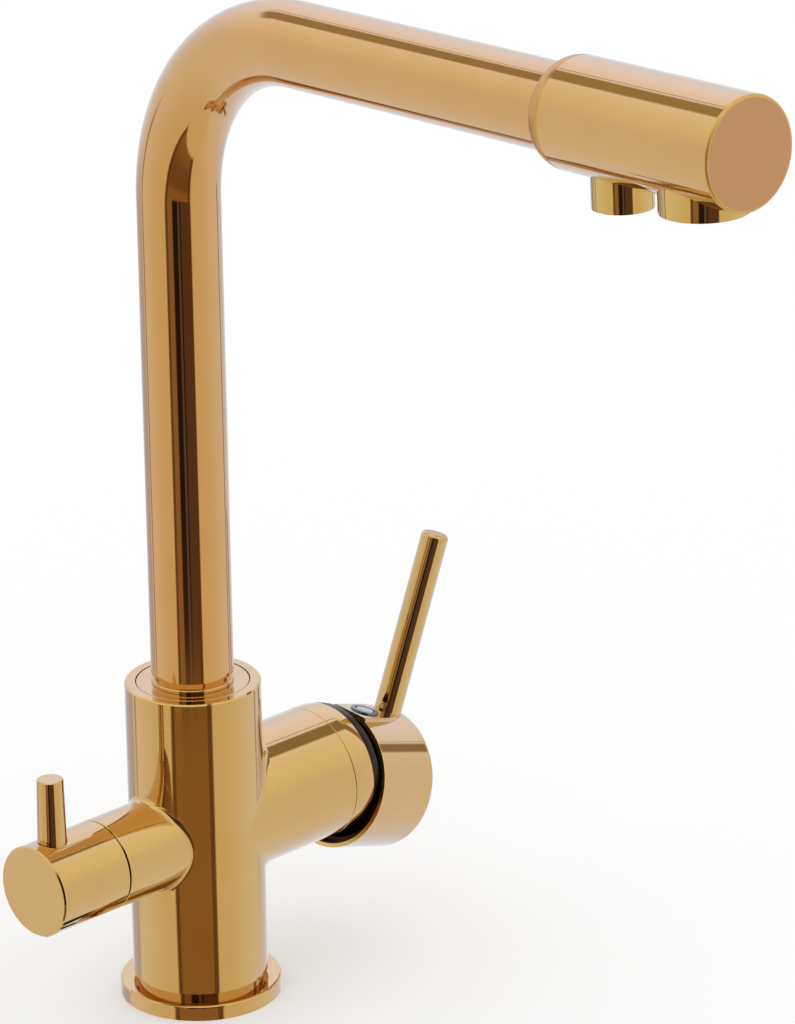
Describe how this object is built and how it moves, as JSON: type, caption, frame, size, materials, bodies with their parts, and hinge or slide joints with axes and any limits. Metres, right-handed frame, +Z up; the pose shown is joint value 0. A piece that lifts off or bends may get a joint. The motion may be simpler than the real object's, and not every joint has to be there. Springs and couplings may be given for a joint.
{
  "type": "kitchen mixer tap",
  "caption": "Tall gold kitchen mixer tap with a side lever, a filtered water knob and a bent swivel spout with separate outlets for mixed and filtered water.",
  "frame": {"origin": "centre of the flange's underside, on the upper face of the worktop", "axes": "+Z up, -Y towards the user and along the spout, +X the side of the mixing lever, -X the side of the filter knob"},
  "size_m": [0.1887, 0.2931, 0.4385],
  "materials": {
    "gold": "gold-coloured coating, mirror polished",
    "raw_brass": "machined",
    "zinc_steel": "zinc plated",
    "stainless": "machined",
    "chrome": "mirror polished",
    "rubber": "matt",
    "cartridge_plastic": "moulded",
    "outlet_plastic": "moulded",
    "tube_plastic": "smooth, extruded",
    "ceramic": "lapped"
  },
  "bodies": {
    "tap": {"tap_body": "gold", "base_flange": "gold", "base_gasket": "rubber", "fixing_studs": "zinc_steel", "clamp_gasket": "rubber", "clamp_plate": "zinc_steel", "fixing_nuts": "raw_brass", "spout_bush": "gold", "slide_ring": "cartridge_plastic", "filter_tube_seal": "rubber", "cartridge_base": "cartridge_plastic", "cartridge_seals": "rubber", "fixed_disc": "ceramic", "cartridge_casing": "cartridge_plastic", "cartridge_nut": "raw_brass", "dome_ring": "gold", "filter_seat_seal": "rubber", "filter_fixed_disc": "ceramic", "filter_headwork": "raw_brass", "filter_o_ring": "rubber"},
    "spout": {"spout_foot": "gold", "spout_seals": "rubber", "retaining_clip": "stainless", "spout_tube": "gold", "filtered_tube": "tube_plastic", "head_sleeve": "gold", "filter_outlet_seal": "rubber", "aerator_gasket": "rubber", "aerator_housing": "gold", "aerator_cage": "outlet_plastic", "aerator_screen": "stainless", "nozzle_seal": "rubber", "nozzle_ring": "gold", "nozzle_insert": "outlet_plastic"},
    "mixer_rotor": {"stem_guide": "cartridge_plastic", "pivot_pin": "stainless"},
    "lever": {"cartridge_stem": "stainless", "handle_cap": "gold", "lever_rod": "gold", "handle_screw": "stainless", "index_button": "chrome"},
    "carrier": {"disc_carrier": "cartridge_plastic", "moving_disc": "ceramic"},
    "filter_handle": {"filter_knob": "gold", "filter_pin": "gold", "knob_screw": "stainless", "filter_spindle": "raw_brass", "filter_spindle_seal": "rubber", "filter_moving_disc": "ceramic"}
  },
  "joints": [
    {"name": "spout_swivel", "type": "hinge", "parent": "tap", "child": "spout", "pos_m": [0, 0, 0.1137], "axis": [0, 0, 1], "continuous": true},
    {"name": "mixer_temperature", "type": "hinge", "parent": "tap", "child": "mixer_rotor", "pos_m": [0.047, 0, 0.0628], "axis": [1, 0, 0], "range_deg": [-50, 40]},
    {"name": "lever_lift", "type": "hinge", "parent": "mixer_rotor", "child": "lever", "pos_m": [0.047, 0, 0.0628], "axis": [0, 0.9962, 0.0872], "range_deg": [-17.3, 7.7]},
    {"name": "carrier_slide", "type": "slide", "parent": "mixer_rotor", "child": "carrier", "axis": [0, -0.0872, 0.9962], "range_m": [-0.0024, 0.0011]},
    {"name": "filter_turn", "type": "hinge", "parent": "tap", "child": "filter_handle", "pos_m": [-0.045, 0, 0.06], "axis": [1, 0, 0], "range_deg": [0, 90]}
  ],
  "couplings": [
    {"joint": "carrier_slide", "follows": "lever_lift", "m_per_rad": 0.0078}
  ]
}
